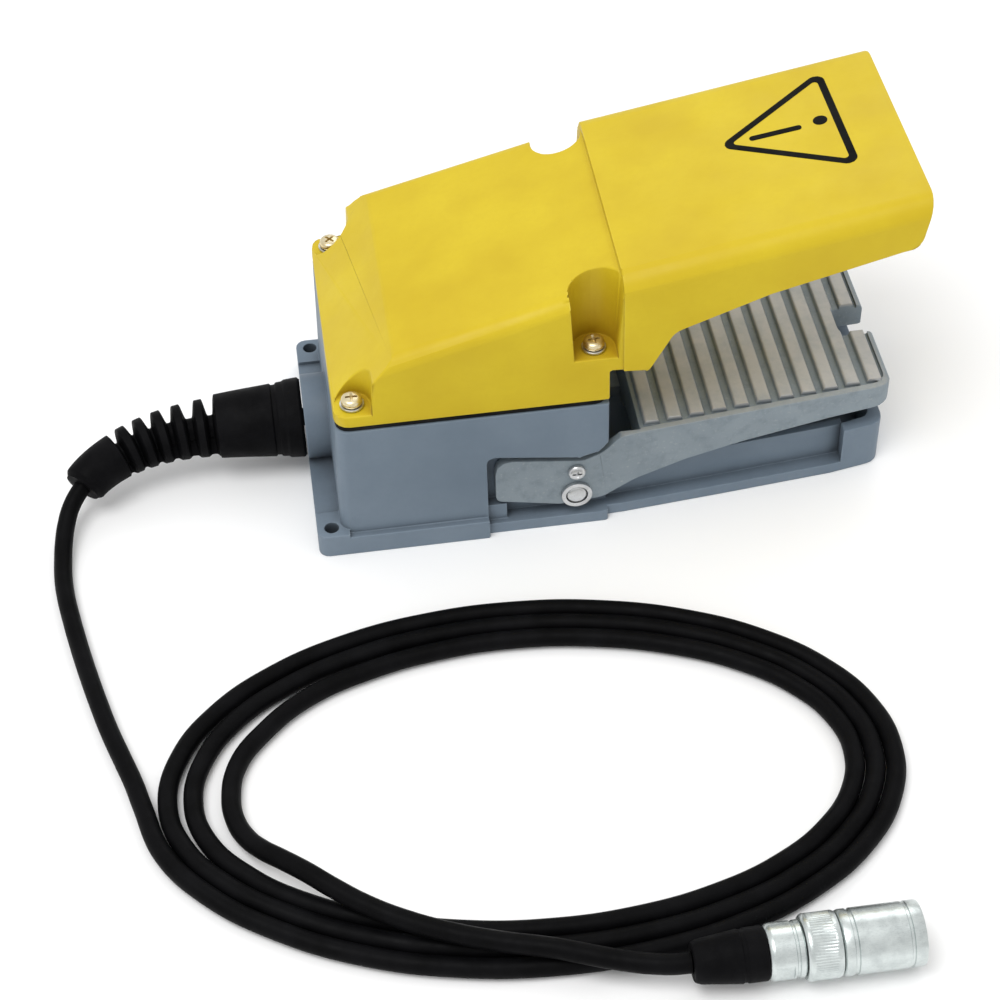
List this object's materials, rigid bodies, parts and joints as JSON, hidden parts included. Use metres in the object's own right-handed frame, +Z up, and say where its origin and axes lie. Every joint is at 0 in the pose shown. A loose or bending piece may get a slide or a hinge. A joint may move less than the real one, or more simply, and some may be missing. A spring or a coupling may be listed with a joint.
{
  "type": "guarded electric foot switch",
  "caption": "Cast foot switch with a ribbed pedal under a sloping guard hood, a slotted bend protector, a coiled cable and a round screw connector.",
  "frame": {"origin": "centre of the base casting's flat underside, halfway between its rear flange edge and its toe, on the floor", "axes": "+X along the switch towards the toe, +Z up from the floor, +Y to the left of someone looking from the rear towards the toe"},
  "size_m": [0.3337, 0.337, 0.1377],
  "materials": {
    "yellow_paint": "semi-gloss powder coat",
    "base_paint": "fine textured grey paint",
    "pedal_metal": "satin silver-grey paint on cast metal",
    "gasket_rubber": "matt",
    "cable_rubber": "satin",
    "phenolic": "matt moulded",
    "nickel": "satin nickel plate",
    "zinc_yellow": "yellow zinc plate",
    "steel": "bright zinc plate",
    "brass": "turned",
    "wire_brown": "matt",
    "wire_blue": "matt",
    "wire_earth": "matt, yellow-green"
  },
  "bodies": {
    "base": {"axle_ring_far": "steel", "axle_ring_near": "steel", "base_casting": "base_paint", "bend_protector": "cable_rubber", "bracket_screw_front": "steel", "bracket_screw_rear": "steel", "connector_body": "nickel", "connector_clamp_nut": "nickel", "connector_insert": "phenolic", "connector_pin_1": "brass", "connector_pin_2": "brass", "connector_pin_3": "brass", "connector_pin_4": "brass", "connector_sleeve": "cable_rubber", "cord_coil": "cable_rubber", "cord_lead": "cable_rubber", "cord_tail": "cable_rubber", "earth_screw": "brass", "gland_nut": "nickel", "gland_sleeve": "nickel", "hood_casting": "yellow_paint", "hood_gasket": "gasket_rubber", "hood_screw_1": "zinc_yellow", "hood_screw_2": "zinc_yellow", "hood_screw_3": "zinc_yellow", "hood_screw_4": "zinc_yellow", "hood_washer_1": "steel", "hood_washer_2": "steel", "hood_washer_3": "steel", "hood_washer_4": "steel", "pivot_axle": "steel", "return_spring": "steel", "switch_bracket": "steel", "switch_case": "phenolic", "switch_screw_front": "steel", "switch_screw_rear": "steel", "terminal_screw_front": "brass", "terminal_screw_rear": "brass", "wire_blue": "wire_blue", "wire_brown": "wire_brown", "wire_earth": "wire_earth"},
    "pedal": {"pedal_casting": "pedal_metal", "stop_screw_near": "steel", "stop_screw_far": "steel", "striker_bolt": "steel", "striker_locknut": "steel"},
    "plunger": {"switch_plunger": "phenolic"},
    "coupling_ring": {"connector_coupling_ring": "nickel"}
  },
  "joints": [
    {"name": "pedal_hinge", "type": "hinge", "parent": "base", "child": "pedal", "pos_m": [-0.012, 0, 0.015], "axis": [0, 1, 0], "range_deg": [0, 4], "stiffness_Nm_per_rad": 5, "springref_deg": -14.32, "deforming": ["return_spring"]},
    {"name": "plunger_slide", "type": "slide", "parent": "base", "child": "plunger", "axis": [0, 0, 1], "range_m": [0, 0.0015]},
    {"name": "coupling_ring_spin", "type": "hinge", "parent": "base", "child": "coupling_ring", "pos_m": [0.052, -0.2675, 0.0111], "axis": [1, 0, 0], "continuous": true}
  ],
  "couplings": [
    {"joint": "plunger_slide", "follows": "pedal_hinge", "m_per_rad": 0.021}
  ]
}
